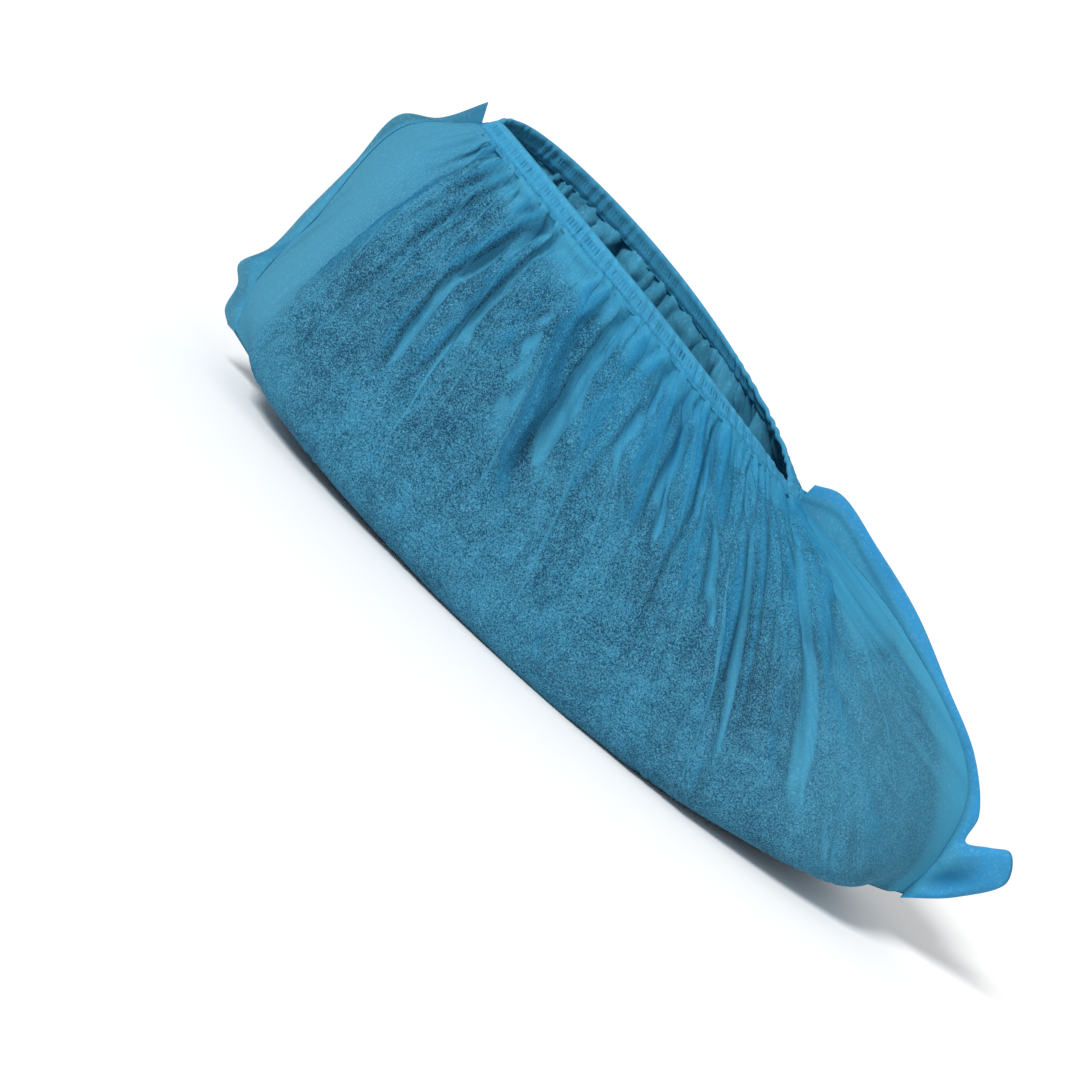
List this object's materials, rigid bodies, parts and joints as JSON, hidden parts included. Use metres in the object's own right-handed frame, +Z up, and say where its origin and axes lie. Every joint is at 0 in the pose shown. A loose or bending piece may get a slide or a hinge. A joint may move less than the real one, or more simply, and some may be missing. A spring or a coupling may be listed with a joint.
{
  "type": "disposable shoe cover",
  "caption": "Disposable nonwoven shoe cover in its worn shape: a soft hollow bag folded under the sole, welded at toe and heel and gathered round the foot opening by an elastic hem.",
  "frame": {"origin": "on the floor, under the middle of the cover's bounding box", "axes": "+X towards the toe, +Y towards the wearer's left, +Z up out of the foot opening"},
  "size_m": [0.3296, 0.108, 0.1277],
  "materials": {
    "nonwoven_cloth": "matte",
    "welded_cloth": "matte"
  },
  "bodies": {
    "root": {"cover_body": "nonwoven_cloth", "elastic_hem": "welded_cloth", "toe_seam_fin": "welded_cloth", "heel_seam_fin": "welded_cloth"}
  },
  "joints": []
}
